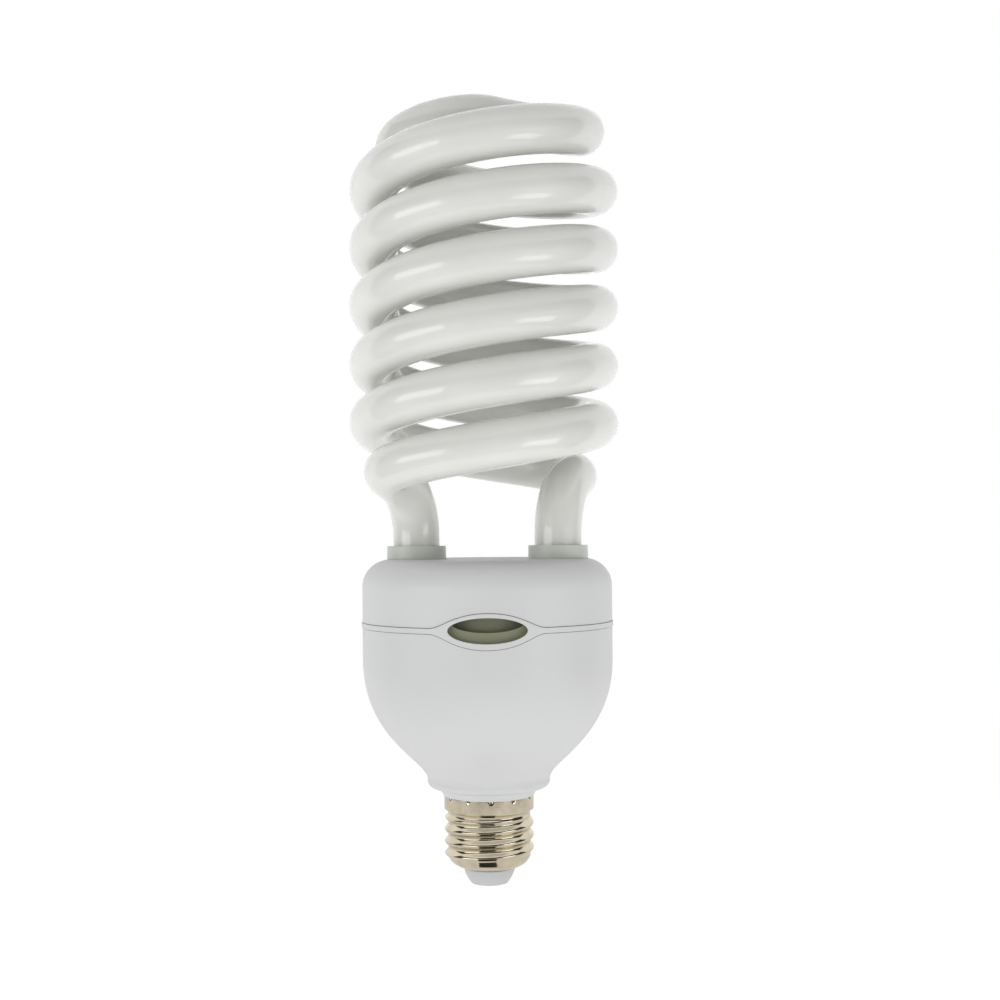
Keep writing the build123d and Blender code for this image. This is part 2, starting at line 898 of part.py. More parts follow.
def live_lead():
    """From the rivet of the centre contact to the board."""
    start_z = insulator_bottom + contact_thickness + contact_stem_length
    return wire(
        (0, 0, start_z),
        (0, 0, start_z + live_rise),
        (*live_neck_place, neck_bottom_z),
        (*live_place, bowl_foot_z + live_turn_height),
        (*live_place, board_bottom_z),
    )


def neutral_lead():
    """From the root of the screw shell to the board."""
    end_y = shell_root_radius - shell_wall - mains_wire_radius - fit_gap
    return wire(
        (0, end_y, skirt_foot_z - neutral_drop),
        (0, end_y - neutral_step, neck_bottom_z + neutral_step_height),
        (*neutral_place, bowl_foot_z + neutral_turn_height),
        (*neutral_place, board_bottom_z),
    )


sub_parts = {
    "discharge_tube": discharge_tube,
    "tube_cover": tube_cover,
    "tube_holder": tube_holder,
    "tube_seals": tube_seals,
    "vent_ring": vent_ring,
    "ballast_housing": ballast_housing,
    "screw_shell": screw_shell,
    "cap_insulator": cap_insulator,
    "centre_contact": centre_contact,
    "circuit_board": circuit_board,
    "wrap_pins": wrap_pins,
    "lead_in_wires": lead_in_wires,
    "main_capacitor": main_capacitor,
    "choke_core": choke_core,
    "choke_bobbin": choke_bobbin,
    "choke_winding": choke_winding,
    "filter_inductor": filter_inductor,
    "drive_toroid": drive_toroid,
    "toroid_windings": toroid_windings,
    "power_transistors": power_transistors,
    "resonant_capacitor": lambda: film_capacitor(resonant_place, resonant_size),
    "coupling_capacitor": lambda: film_capacitor(coupling_place, coupling_size),
    "rectifier_diodes": rectifier_diodes,
    "fusible_resistor": lambda: axial_part(resistor_place, resistor_radius, resistor_length, resistor_span),
    "start_thermistor": start_thermistor,
    "live_lead": live_lead,
    "neutral_lead": neutral_lead,
}

os.makedirs("parts", exist_ok=True)
for name, make in sub_parts.items():
    save(name, make())
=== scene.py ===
"""Looks of a spiral energy saving bulb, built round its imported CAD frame.

Lengths of the pieces are millimetres in the lamp's own frame: the origin is the tip of the centre contact
and +Z runs up the axis. Meshes are handed to Blender in metres. Lengths of the studio and of the finishes
are metres.
"""

import json
import logging
from dataclasses import dataclass
from enum import Enum

import bpy
import numpy as np
from mathutils import Matrix

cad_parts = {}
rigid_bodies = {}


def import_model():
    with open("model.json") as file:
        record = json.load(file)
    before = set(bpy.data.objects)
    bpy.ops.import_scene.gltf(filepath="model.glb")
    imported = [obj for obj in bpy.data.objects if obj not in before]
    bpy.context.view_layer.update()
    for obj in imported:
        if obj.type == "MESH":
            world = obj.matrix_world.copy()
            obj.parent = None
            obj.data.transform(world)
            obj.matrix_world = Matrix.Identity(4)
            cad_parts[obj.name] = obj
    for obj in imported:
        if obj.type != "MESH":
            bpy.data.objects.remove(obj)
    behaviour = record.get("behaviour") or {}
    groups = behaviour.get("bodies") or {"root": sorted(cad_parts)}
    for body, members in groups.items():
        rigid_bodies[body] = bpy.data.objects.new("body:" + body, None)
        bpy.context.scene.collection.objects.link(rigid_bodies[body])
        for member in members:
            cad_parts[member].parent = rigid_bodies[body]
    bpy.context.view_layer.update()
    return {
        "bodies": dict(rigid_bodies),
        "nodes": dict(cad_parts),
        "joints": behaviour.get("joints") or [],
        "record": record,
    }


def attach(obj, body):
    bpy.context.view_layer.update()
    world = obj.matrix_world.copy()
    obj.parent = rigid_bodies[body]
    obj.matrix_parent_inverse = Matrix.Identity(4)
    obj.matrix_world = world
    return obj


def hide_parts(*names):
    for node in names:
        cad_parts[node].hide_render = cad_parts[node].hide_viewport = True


MM = 0.001
LOG = logging.getLogger("bulb")

Colour = tuple[float, float, float]
Socket = bpy.types.NodeSocket

# The middle of a noise, which spread and blend stretch over their whole range
NOISE_MIDDLE = (0.3, 0.7)
# Where the first tone, the second tone and the painted shade of the pockets lie on the ramp of shade
TONE_PLACES = (0.1, 0.3, 0.8)
# How far a full mask of painted shade moves along that ramp
MASK_SHARE = 0.7
# Where the tube's line leans less than this, its section takes its sideways direction from the next bend
UPRIGHT = 1e-3
# A small step in radians along the coil that gives the coil's direction at its ends
ANGLE_STEP = 1e-4
# Keeps a divisor above zero
TINY = 1e-6


# Meshes

def grid_faces(rows: int, columns: int, closed: bool) -> np.ndarray:
    """Quads of a grid of vertices stored row by row.

    Args:
        rows: Number of rows of vertices.
        columns: Number of vertices in a row.
        closed: Whether the last column joins the first.

    Returns:
        An array of shape (faces, 4) of vertex numbers.
    """
    row = np.arange(rows - 1)[:, None]
    column = np.arange(columns if closed else columns - 1)[None, :]
    following = (column + 1) % columns
    quads = np.stack(
        [
            row * columns + column,
            row * columns + following,
            (row + 1) * columns + following,
            (row + 1) * columns + column,
        ],
        axis=-1,
    )
    return quads.reshape(-1, 4)


def mesh_object(
    name: str, points: np.ndarray, quads: np.ndarray, caps: list[np.ndarray], uv: np.ndarray
) -> bpy.types.Object:
    """Makes a smooth mesh object from a grid and its end caps.

    Args:
        name: Name of the object and its mesh.
        points: Vertices in millimetres, shape (count, 3).
        quads: Vertex numbers of the quads, shape (faces, 4).
        caps: Rings of vertex numbers, each closed by one polygon in that order.
        uv: One (u, v) for each vertex.

    Returns:
        The linked object.
    """
    mesh = bpy.data.meshes.new(name)
    mesh.vertices.add(len(points))
    mesh.vertices.foreach_set("co", (points * MM).astype(np.float32).ravel())
    corners = np.concatenate([quads.ravel(), *caps]).astype(np.int32)
    cap_sizes = np.array([len(cap) for cap in caps], dtype=int)
    sizes = np.concatenate([np.full(len(quads), 4), cap_sizes]).astype(np.int32)
    mesh.loops.add(len(corners))
    mesh.loops.foreach_set("vertex_index", corners)
    mesh.polygons.add(len(sizes))
    starts = np.concatenate([[0], np.cumsum(sizes)[:-1]]).astype(np.int32)
    mesh.polygons.foreach_set("loop_start", starts)
    mesh.polygons.foreach_set("loop_total", sizes)
    mesh.polygons.foreach_set("use_smooth", np.ones(len(sizes), dtype=bool))
    layer = mesh.uv_layers.new(name="along")
    layer.data.foreach_set("uv", uv[corners].astype(np.float32).ravel())
    mesh.update(calc_edges=True)
    mesh.validate()
    thing = bpy.data.objects.new(name, mesh)
    bpy.context.scene.collection.objects.link(thing)
    return thing


def smooth_step(value: np.ndarray) -> np.ndarray:
    """Rises from 0 to 1 with level ends as value goes from 0 to 1.

    Args:
        value: Any numbers; those outside 0 to 1 are clamped.

    Returns:
        The eased numbers.
    """
    held = np.clip(value, 0.0, 1.0)
    return held * held * (3.0 - 2.0 * held)


# Materials

def calculate(tree: bpy.types.NodeTree, operation: str, *values: Socket | float) -> Socket:
    """Works a number out from others.

    Args:
        tree: The node tree that gets the node.
        operation: Name of the math node's operation.
        values: Outputs or plain numbers, in the order of the node's inputs.

    Returns:
        The result.
    """
    node = tree.nodes.new("ShaderNodeMath")
    node.operation = operation
    for value, socket in zip(values, node.inputs):
        if isinstance(value, float):
            socket.default_value = value
        else:
            tree.links.new(value, socket)
    return node.outputs[0]


@dataclass(frozen=True)
class PaintedShadeZone:
    """Where the painted shade lies: the room inside the housing's wall behind the vents.

    Each pair says where the mask is 0 and where it is 1: the distance from the axis, the height at the lower
    edge and the height at the upper edge.
    """

    reach: tuple[float, float] = (0.0362, 0.0350)
    bottom: tuple[float, float] = (0.066, 0.069)
    top: tuple[float, float] = (0.084, 0.081)


class Graph:
    """A material's node tree with one Principled shader, built by short calls."""

    def __init__(self, name: str) -> None:
        """Starts an empty material.

        Args:
            name: Name of the material.
        """
        self.material = bpy.data.materials.new(name)
        self.material.use_nodes = True
        self.tree = self.material.node_tree
        self.tree.nodes.clear()
        output = self.tree.nodes.new("ShaderNodeOutputMaterial")
        self.shader = self.tree.nodes.new("ShaderNodeBsdfPrincipled")
        self.join(self.shader.outputs["BSDF"], output.inputs["Surface"])

    def join(self, source: Socket, target: Socket) -> None:
        """Links two sockets.

        Args:
            source: An output.
            target: An input.
        """
        self.tree.links.new(source, target)

    def constants(self, **values: object) -> None:
        """Sets numbers and vectors on the shader's own sockets.

        Args:
            values: Socket names with underscores for spaces, and their values.
        """
        for key, value in values.items():
            self.shader.inputs[key.replace("_", " ")].default_value = value

    def place(self, stretch: Colour = (1.0, 1.0, 1.0)) -> Socket:
        """Object coordinates, stretched.

        Args:
            stretch: Factor along each axis.

        Returns:
            The vector output.
        """
        coordinates = self.tree.nodes.new("ShaderNodeTexCoord")
        mapping = self.tree.nodes.new("ShaderNodeMapping")
        mapping.inputs["Scale"].default_value = stretch
        self.join(coordinates.outputs["Object"], mapping.inputs["Vector"])
        return mapping.outputs["Vector"]

    def noise(self, vector: Socket, scale: float, detail: float = 2.0, rough: float = 0.5) -> Socket:
        """A noise texture.

        Args:
            vector: Where it is read.
            scale: Waves in a metre.
            detail: Octaves.
            rough: Weight of the finer octaves.

        Returns:
            The noise, about 0 to 1.
        """
        texture = self.tree.nodes.new("ShaderNodeTexNoise")
        texture.inputs["Scale"].default_value = scale
        texture.inputs["Detail"].default_value = detail
        texture.inputs["Roughness"].default_value = rough
        self.join(vector, texture.inputs["Vector"])
        return texture.outputs["Fac"]

    def spread(self, value: Socket, low: float, high: float) -> Socket:
        """Maps the middle of a noise to a range.

        Args:
            value: A noise.
            low: Result for its lows.
            high: Result for its highs.

        Returns:
            The mapped number.
        """
        ranged = self.tree.nodes.new("ShaderNodeMapRange")
        ranged.inputs["From Min"].default_value = NOISE_MIDDLE[0]
        ranged.inputs["From Max"].default_value = NOISE_MIDDLE[1]
        ranged.inputs["To Min"].default_value = low
        ranged.inputs["To Max"].default_value = high
        self.join(value, ranged.inputs["Value"])
        return ranged.outputs["Result"]

    def blend(self, amount: Socket, first: Colour, second: Colour) -> Socket:
        """Mixes two colours.

        Args:
            amount: 0 gives the first, 1 the second.
            first: A colour.
            second: Another colour.

        Returns:
            The mixed colour.
        """
        ramp = self.tree.nodes.new("ShaderNodeValToRGB")
        for element, place, colour in zip(ramp.color_ramp.elements, NOISE_MIDDLE, (first, second)):
            element.position = place
            element.color = (*colour, 1.0)
        self.join(amount, ramp.inputs["Fac"])
        return ramp.outputs["Color"]

    def window(self, value: Socket, low: float, high: float) -> Socket:
        """Rises smoothly from 0 to 1 between two values, or falls where low is the greater.

        Args:
            value: A number.
            low: Where the result is 0.
            high: Where it is 1.

        Returns:
            The result.
        """
        step = self.tree.nodes.new("ShaderNodeMapRange")
        step.interpolation_type = "SMOOTHSTEP"
        step.inputs["From Min"].default_value = low
        step.inputs["From Max"].default_value = high
        self.join(value, step.inputs["Value"])
        return step.outputs["Result"]

    def painted_pocket_shade(self, place: Socket) -> Socket:
        """Mask of painted shade: 1 inside the housing's wall at the height of the vents, 0 on the outside.

        Args:
            place: Object coordinates.

        Returns:
            The mask: the distance from the axis below the wall's outer face, times a window of height.
        """
        flat = self.tree.nodes.new("ShaderNodeVectorMath")
        flat.operation = "MULTIPLY"
        flat.inputs[1].default_value = (1.0, 1.0, 0.0)
        self.join(place, flat.inputs[0])
        reach = self.tree.nodes.new("ShaderNodeVectorMath")
        reach.operation = "LENGTH"
        self.join(flat.outputs["Vector"], reach.inputs[0])
        split = self.tree.nodes.new("ShaderNodeSeparateXYZ")
        self.join(place, split.inputs["Vector"])
        size = PaintedShadeZone()
        mask = self.window(reach.outputs["Value"], *size.reach)
        for edge in (size.bottom, size.top):
            mask = calculate(self.tree, "MULTIPLY", mask, self.window(split.outputs["Z"], *edge))
        return mask

    def shade(self, amount: Socket, mask: Socket, tones: tuple[Colour, Colour, Colour]) -> Socket:
        """Two tones after a noise, and a third, painted shade, where a mask is 1.

        Args:
            amount: A noise.
            mask: 0 or 1, or between them at its edge.
            tones: The two tones and the painted shade.

        Returns:
            The colour.
        """
        base = self.spread(amount, TONE_PLACES[0], TONE_PLACES[1])
        total = calculate(self.tree, "MULTIPLY_ADD", mask, MASK_SHARE, base)
        ramp = self.tree.nodes.new("ShaderNodeValToRGB")
        ramp.color_ramp.elements[0].position = TONE_PLACES[0]
        ramp.color_ramp.elements[0].color = (*tones[0], 1.0)
        ramp.color_ramp.elements[1].position = TONE_PLACES[2]
        ramp.color_ramp.elements[1].color = (*tones[2], 1.0)
        middle = ramp.color_ramp.elements.new(TONE_PLACES[1])
        middle.color = (*tones[1], 1.0)
        self.join(total, ramp.inputs["Fac"])
        return ramp.outputs["Color"]

    def bump(
        self, height: Socket, distance: float, strength: float, under: Socket | None = None
    ) -> Socket:
        """A bump.

        Args:
            height: The relief.
            distance: Its depth in metres.
            strength: Its weight.
            under: A normal that it is laid on.

        Returns:
            The normal.
        """
        relief = self.tree.nodes.new("ShaderNodeBump")
        relief.inputs["Distance"].default_value = distance
        relief.inputs["Strength"].default_value = strength
        self.join(height, relief.inputs["Height"])
        if under is not None:
            self.join(under, relief.inputs["Normal"])
        return relief.outputs["Normal"]


@dataclass(frozen=True)
class PhosphorGlass:
    """Clear glass tube coated white inside: a bright even body under a hard gloss."""

    name: str = "phosphor_glass"
    thin: Colour = (0.81, 0.812, 0.785)
    full: Colour = (0.87, 0.872, 0.845)
    rough: tuple[float, float] = (0.30, 0.40)

    def build(self) -> bpy.types.Material:
        """Makes the material.

        Returns:
            The material.
        """
        graph = Graph(self.name)
        place = graph.place()
        cloud = graph.noise(place, scale=38.0, detail=3.0)
        graph.join(graph.blend(cloud, self.thin, self.full), graph.shader.inputs["Base Color"])
        patches = graph.noise(place, scale=150.0, detail=2.0)
        graph.join(graph.spread(patches, *self.rough), graph.shader.inputs["Roughness"])
        wave = graph.bump(graph.noise(place, scale=55.0, detail=1.0), distance=0.0006, strength=0.25)
        graph.join(wave, graph.shader.inputs["Coat Normal"])
        grain = graph.bump(graph.noise(place, scale=2600.0, detail=2.0), distance=0.00003, strength=0.25)
        graph.join(grain, graph.shader.inputs["Normal"])
        graph.constants(Coat_Weight=1.0, Coat_Roughness=0.04, Coat_IOR=1.52, Specular_IOR_Level=0.35)
        graph.constants(Subsurface_Weight=0.7, Subsurface_Radius=(1.0, 1.0, 0.92), Subsurface_Scale=0.010)
        return graph.material


@dataclass(frozen=True)
class MouldedPlastic:
    """Injection moulded plastic with a fine eroded grain and a satin sheen, and painted shade inside the
    vents where a pocket colour is given.
    """

    name: str
    first: Colour
    second: Colour
    rough: tuple[float, float] = (0.40, 0.50)
    grain: float = 0.12
    depth: float = 0.12
    # Colour of painted shade on the faces inside the housing's wall behind the vents, or None for no painted
    # shade.
    painted_pocket_shade: Colour | None = None

    def build(self) -> bpy.types.Material:
        """Makes the material.

        Returns:
            The material.
        """
        graph = Graph(self.name)
        place = graph.place()
        flow = graph.noise(place, scale=22.0, detail=2.0)
        # With a pocket colour, the faces behind the vents get painted shade as a third tone.
        if self.painted_pocket_shade is None:
            colour = graph.blend(flow, self.first, self.second)
        else:
            colour = graph.shade(flow, graph.painted_pocket_shade(place), (self.first, self.second, self.painted_pocket_shade))
        graph.join(colour, graph.shader.inputs["Base Color"])
        patches = graph.noise(place, scale=90.0, detail=3.0)
        graph.join(graph.spread(patches, *self.rough), graph.shader.inputs["Roughness"])
        eroded = graph.noise(place, scale=3200.0, detail=3.0, rough=0.6)
        fine = graph.bump(eroded, distance=0.00004, strength=self.grain)
        graph.join(fine, graph.shader.inputs["Normal"])
        graph.constants(Specular_IOR_Level=0.45, Subsurface_Weight=self.depth)
        graph.constants(Subsurface_Radius=(1.0, 1.0, 1.0), Subsurface_Scale=0.002)
        return graph.material


@dataclass(frozen=True)
class PlatedSheet:
    """Bright metal, plated or soldered, with faint lines round the axis and a little tarnish."""

    name: str
    bright: Colour = (0.72, 0.65, 0.51)
    dull: Colour = (0.58, 0.51, 0.38)
    rough: tuple[float, float] = (0.11, 0.17)

    def build(self) -> bpy.types.Material:
        """Makes the material.

        Returns:
            The material.
        """
        graph = Graph(self.name)
        place = graph.place()
        rolled = graph.place((0.12, 0.12, 1.0))
        tarnish = graph.noise(place, scale=260.0, detail=4.0, rough=0.6)
        graph.join(graph.blend(tarnish, self.bright, self.dull), graph.shader.inputs["Base Color"])
        graph.join(graph.spread(tarnish, *self.rough), graph.shader.inputs["Roughness"])
        lines = graph.noise(rolled, scale=4200.0, detail=2.0)
        dents = graph.bump(graph.noise(place, scale=420.0, detail=1.0), distance=0.0002, strength=0.08)
        relief = graph.bump(lines, distance=0.00002, strength=0.12, under=dents)
        graph.join(relief, graph.shader.inputs["Normal"])
        graph.constants(Metallic=1.0)
        return graph.material


class Pattern(Enum):
    """How a hidden part's surface varies."""

    GRAIN = (1.0, 1.0, 1.0)
    TURNS = (0.05, 0.05, 1.0)


@dataclass(frozen=True)
class InnerFinish:
    """A part inside the housing: two tones, a grain or wire turns, and its gloss."""

    name: str
    first: Colour
    second: Colour
    rough: float = 0.4
    metallic: float = 0.0
    coat: float = 0.0
    pattern: Pattern = Pattern.GRAIN
    scale: float = 900.0
    relief: float = 0.2
    uneven: float = 0.15

    def build(self) -> bpy.types.Material:
        """Makes the material.

        Returns:
            The material.
        """
        graph = Graph(self.name)
        place = graph.place(self.pattern.value)
        grain = graph.noise(place, self.scale, detail=3.0)
        graph.join(graph.blend(grain, self.first, self.second), graph.shader.inputs["Base Color"])
        rough = graph.spread(grain, self.rough * (1 - self.uneven), self.rough * (1 + self.uneven))
        graph.join(rough, graph.shader.inputs["Roughness"])
        relief = graph.bump(grain, distance=0.0001, strength=self.relief)
        graph.join(relief, graph.shader.inputs["Normal"])
        graph.constants(Metallic=self.metallic, Coat_Weight=self.coat)
        return graph.material


Finish = PhosphorGlass | MouldedPlastic | PlatedSheet | InnerFinish

FINISH_LIST: tuple[Finish, ...] = (
    PhosphorGlass(),
    # The white plastic's third colour is painted shade on the faces inside the housing behind the vents.
    MouldedPlastic(
        "white_plastic", (0.745, 0.755, 0.757), (0.775, 0.785, 0.787), painted_pocket_shade=(0.30, 0.31, 0.21)
    ),
    MouldedPlastic(
        "collar_plastic", (0.66, 0.68, 0.63), (0.70, 0.72, 0.68), rough=(0.32, 0.42), grain=0.08, depth=0.4
    ),
    MouldedPlastic(
        "cap_plastic", (0.62, 0.63, 0.65), (0.66, 0.67, 0.69), rough=(0.35, 0.45), grain=0.10, depth=0.2
    ),
    PlatedSheet("nickel"),
    PlatedSheet("solder", bright=(0.70, 0.69, 0.66), dull=(0.55, 0.54, 0.51), rough=(0.25, 0.45)),
    InnerFinish("silicone", (0.72, 0.72, 0.70), (0.78, 0.78, 0.76), rough=0.5),
    InnerFinish("board_laminate", (0.42, 0.28, 0.12), (0.50, 0.35, 0.17), rough=0.45, scale=1400.0),
    InnerFinish("tinned_wire", (0.62, 0.61, 0.58), (0.72, 0.71, 0.68), rough=0.28, metallic=1.0),
    InnerFinish("capacitor_sleeve", (0.02, 0.025, 0.035), (0.03, 0.035, 0.05), rough=0.3, coat=0.5),
    InnerFinish("ferrite", (0.05, 0.05, 0.055), (0.09, 0.09, 0.095), rough=0.55, scale=1800.0),
    InnerFinish("bobbin_plastic", (0.06, 0.06, 0.06), (0.09, 0.09, 0.09), rough=0.5),
    InnerFinish(
        "copper", (0.45, 0.16, 0.06), (0.68, 0.30, 0.14), rough=0.3, metallic=1.0, coat=0.3,
        pattern=Pattern.TURNS, scale=3000.0, relief=0.6,
    ),
    InnerFinish("inductor_sleeve", (0.03, 0.03, 0.03), (0.05, 0.05, 0.05), rough=0.35, coat=0.4),
    InnerFinish("black_resin", (0.02, 0.02, 0.02), (0.035, 0.035, 0.035), rough=0.5, scale=2200.0),
    InnerFinish("film_resin", (0.24, 0.06, 0.02), (0.32, 0.09, 0.03), rough=0.3, coat=0.6),
    InnerFinish("resistor_coat", (0.18, 0.28, 0.23), (0.24, 0.35, 0.29), rough=0.4, coat=0.3),
    InnerFinish("thermistor_coat", (0.10, 0.11, 0.05), (0.15, 0.16, 0.08), rough=0.35, coat=0.4),
    InnerFinish("wire_red", (0.40, 0.03, 0.02), (0.48, 0.05, 0.04), rough=0.4),
    InnerFinish("wire_black", (0.02, 0.02, 0.02), (0.04, 0.04, 0.04), rough=0.4),
)

FINISHES = {finish.name: finish for finish in FINISH_LIST}


class Palette:
    """Builds each finish once and puts it on objects."""

    def __init__(self) -> None:
        """Starts with nothing built."""
        self.made: dict[str, bpy.types.Material] = {}

    def paint(self, thing: bpy.types.Object, slot: str) -> None:
        """Gives an object the finish of a material slot.

        Args:
            thing: A mesh object.
            slot: Name of the record's material slot.
        """
        if slot not in self.made:
            self.made[slot] = FINISHES[slot].build()
        if not thing.material_slots:
            thing.data.materials.append(self.made[slot])
        for holder in thing.material_slots:
            holder.material = self.made[slot]


# Discharge tube

@dataclass(frozen=True)
class SpiralSize:
    """Sizes of the discharge tube."""

    radius: float = 6.9
    swell: float = 0.1
    coil_radius: float = 32.65
    lean: float = 0.6
    lean_height: float = 100.0
    lead: float = 34.05
    first_crossing: float = 118.35
    turns: float = 3.0
    start_angle: float = 41.0
    end_angle: float = -35.2
    end_skew: float = 7.0
    pull_in: float = 2.95
    leg_spread: float = 20.9
    leg_offset: float = 2.9
    leg_top: float = 103.0
    leg_end: float = 85.1
    bend_share: float = 1.8
    peak: float = 225.4
    shift: float = 2.2
    heading: float = 41.5
    outer_pull: float = 23.8
    inner_pull: float = 13.0
    stem_radius: float = 2.6
    stem_end: float = 75.1
    blend: float = 2.2
    spacing: float = 1.1
    around: int = 48
    leg_points: int = 60
    arc_points: int = 40
    coil_points: int = 900
    crown_points: int = 160


class DischargeTube:
    """The glass tube: two legs, two interleaved coils and the S-shaped crown, as one swept surface."""

    def __init__(self, size: SpiralSize) -> None:
        """Keeps the sizes.

        Args:
            size: Sizes of the tube.
        """
        self.size = size

    def coil_point(self, angle: np.ndarray, last: float, side: int) -> np.ndarray:
        """Points of a coil: a helix whose last half turn draws in as the square of the way along it.

        The lowest turns also sit a little to the left, which fades out towards the crown.

        Args:
            angle: Angles along the coil in radians.
            last: The angle at which the coil ends.
            side: 1 for the coil of the left leg, -1 for the other.

        Returns:
            Points, shape (count, 3).
        """
        size = self.size
        draw = np.maximum(0.0, (angle - last + np.pi) / np.pi)
        radius = size.coil_radius - size.pull_in * draw * draw
        height = size.first_crossing + size.lead * (angle - np.pi) / (2 * np.pi)
        lean = -size.lean * (1.0 - smooth_step((height - size.first_crossing) / size.lean_height))
        across = lean + side * radius * np.cos(angle)
        return np.stack([across, side * radius * np.sin(angle), height], axis=-1)

    def leg_bend(self, leg: np.ndarray, point: np.ndarray, tangent: np.ndarray) -> np.ndarray:
        """The bend from the upright leg to the coil: two arcs that meet with one tangent.

        Args:
            leg: The top of the straight leg.
            point: The start of the coil.
            tangent: The coil's direction there.

        Returns:
            Points along the bend, shape (count, 3).
        """
        up = np.array([0.0, 0.0, 1.0])
        share = self.size.bend_share
        gap = point - leg
        square = 2 * share * (up @ tangent - 1)
        linear = -2 * gap @ (up * share + tangent)
        reach = (-linear - np.sqrt(linear**2 - 4 * square * (gap @ gap))) / (2 * square)
        corner = leg + up * share * reach
        along = (point - tangent * reach) - corner
        along /= np.linalg.norm(along)
        joint = corner + along * share * reach
        return np.concatenate([self.arc(leg, up, joint), self.arc(joint, along, point)[1:]])

    def arc(self, start: np.ndarray, tangent: np.ndarray, end: np.ndarray) -> np.ndarray:
        """Points of the circle that leaves start along tangent and passes through end.

        Args:
            start: First point.
            tangent: Direction at the first point.
            end: Last point.

        Returns:
            Points, shape (count, 3).
        """
        chord = end - start
        normal = chord - tangent * (chord @ tangent)
        normal /= np.linalg.norm(normal)
        radius = (chord @ chord) / (2 * chord @ normal)
        turn = 2 * np.arcsin(np.linalg.norm(chord) / (2 * radius))
        angle = np.linspace(0.0, turn, self.size.arc_points)[:, None]
        return start + radius * (np.sin(angle) * tangent + (1 - np.cos(angle)) * normal)

    def strand(self, side: int) -> np.ndarray:
        """One half of the centre line, from the end of its stem to the middle of the crown.

        Args:
            side: 1 for the left leg, -1 for the right.

        Returns:
            Points, shape (count, 3).
        """
        size = self.size
        first = np.pi + np.radians(size.start_angle)
        last = np.pi * (1 + 2 * size.turns) + np.radians(size.end_angle - side * size.end_skew)
        coil = self.coil_point(np.linspace(first, last, size.coil_points), last, side)
        corners = np.array([first, first + ANGLE_STEP, last - ANGLE_STEP, last])
        ends = self.coil_point(corners, last, side)
        entry = (ends[1] - ends[0]) / np.linalg.norm(ends[1] - ends[0])
        leave = (ends[3] - ends[2]) / np.linalg.norm(ends[3] - ends[2])
        leg = np.array([-side * size.leg_spread, side * size.leg_offset, size.leg_top])
        foot = leg.copy()
        foot[2] = size.stem_end
        middle = np.array([size.shift, 0.0, size.peak])
        heading = np.radians(size.heading)
        across = side * np.array([np.cos(heading), np.sin(heading), 0.0])
        t = np.linspace(0.0, 1.0, size.crown_points)[:, None]
        near = ends[3] + leave * size.outer_pull
        far = middle - across * size.inner_pull
        start_half = ends[3] * (1 - t) ** 3 + near * 3 * (1 - t) ** 2 * t
        crown = start_half + far * 3 * (1 - t) * t**2 + middle * t**3
        straight = foot + (leg - foot) * np.linspace(0.0, 1.0, size.leg_points)[:, None]
        return np.concatenate([straight, self.leg_bend(leg, coil[0], entry)[1:], coil[1:], crown[1:]])

    def centre_line(self) -> np.ndarray:
        """The whole centre line at even spacing, with its joins blended by a Gaussian window.

        Returns:
            Points, shape (count, 3).
        """
        size = self.size
        line = np.concatenate([self.strand(1), self.strand(-1)[::-1][1:]])
        steps = np.linalg.norm(np.diff(line, axis=0), axis=1)
        length = np.concatenate([[0.0], np.cumsum(steps)])
        even = np.linspace(0.0, length[-1], int(length[-1] / size.spacing) + 1)
        line = np.stack([np.interp(even, length, line[:, axis]) for axis in range(3)], axis=-1)
        reach = int(4 * size.blend / size.spacing)
        window = np.exp(-0.5 * (np.arange(-reach, reach + 1) * size.spacing / size.blend) ** 2)
        window /= window.sum()
        head = 2 * line[0] - line[reach:0:-1]
        tail = 2 * line[-1] - line[-2 : -reach - 2 : -1]
        padded = np.concatenate([head, line, tail])
        return np.stack([np.convolve(padded[:, axis], window, mode="valid") for axis in range(3)], axis=-1)

    def section_radius(self, line: np.ndarray) -> np.ndarray:
        """The tube's radius along the line: full, then a dome at the leg's end, then the thin stem.

        Args:
            line: The centre line.

        Returns:
            One radius for each point.
        """
        size = self.size
        below = np.clip(size.leg_end - line[:, 2], 0.0, size.radius)
        dome = np.sqrt(np.maximum(size.radius**2 - below**2, 0.0))
        return np.maximum(dome, size.stem_radius)

    def build(self) -> bpy.types.Object:
        """Sweeps a section along the centre line: round in the legs, in the coil a little wider than high.

        Returns:
            The tube.
        """
        size = self.size
        line = self.centre_line()
        tangent = np.gradient(line, axis=0)
        tangent /= np.linalg.norm(tangent, axis=1, keepdims=True)
        side = np.cross(tangent, [0.0, 0.0, 1.0])
        lean = np.linalg.norm(side, axis=1)
        usable = np.flatnonzero(lean > UPRIGHT)
        place = np.searchsorted(usable, np.arange(len(line)))
        side = side[usable[np.clip(place, 0, len(usable) - 1)]]
        side -= tangent * np.sum(side * tangent, axis=1, keepdims=True)
        side /= np.linalg.norm(side, axis=1, keepdims=True)
        other = np.cross(tangent, side)
        angle = np.linspace(0.0, 2 * np.pi, size.around, endpoint=False)
        radius = self.section_radius(line)[:, None, None]
        swell = size.swell * smooth_step((line[:, 2] - size.leg_top) / size.radius)[:, None, None]
        across = (radius + swell) * side[:, None, :] * np.cos(angle)[None, :, None]
        upward = (radius - swell) * other[:, None, :] * np.sin(angle)[None, :, None]
        points = (line[:, None, :] + across + upward).reshape(-1, 3)
        quads = grid_faces(len(line), size.around, closed=True)
        ring = np.arange(size.around)
        last = (len(line) - 1) * size.around
        along = np.repeat(np.linspace(0.0, 1.0, len(line)), size.around)
        uv = np.stack([along, np.tile(angle / (2 * np.pi), len(line))], axis=-1)
        return mesh_object("glass_spiral", points, quads, [ring[::-1], last + ring], uv)


# Screw cap

